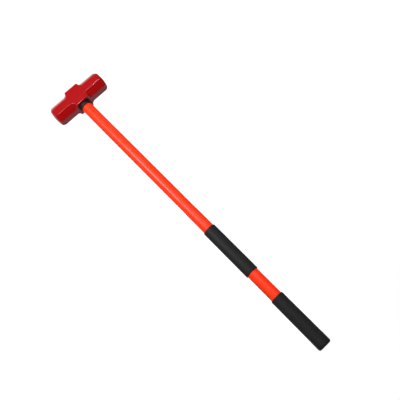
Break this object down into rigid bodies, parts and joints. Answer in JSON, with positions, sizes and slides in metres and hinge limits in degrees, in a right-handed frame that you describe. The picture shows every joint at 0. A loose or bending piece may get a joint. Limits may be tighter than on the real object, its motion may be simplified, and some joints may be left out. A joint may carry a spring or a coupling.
{
  "type": "sledgehammer",
  "caption": "Long-handled double-faced sledgehammer with an octagonal forged head on a jacketed glass-fibre handle with rubber grips.",
  "frame": {"origin": "centre of the head's crown, on the handle's axis, with the hammer standing on its head", "axes": "+Z along the handle from the head to the butt, X along the head from one striking face to the other, Y from cheek to cheek"},
  "size_m": [0.1634, 0.0526, 0.9],
  "materials": {
    "red_enamel": "glossy red enamel over forged steel",
    "epoxy_resin": "cast epoxy, dark and glossy",
    "sealing_cord": "soft black sealing cord",
    "glass_fibre": "pultruded glass fibre, pale straw, satin",
    "collar_rubber": "black rubber, satin",
    "orange_plastic": "smooth moulded orange plastic, semi-gloss",
    "grip_rubber": "matte black rubber with a fine grain"
  },
  "bodies": {
    "root": {"hammer_head": "red_enamel", "eye_resin": "epoxy_resin", "eye_seal": "sealing_cord", "fibre_core": "glass_fibre", "shock_collar": "collar_rubber", "handle_jacket": "orange_plastic", "middle_grip": "grip_rubber", "end_grip": "grip_rubber"}
  },
  "joints": []
}
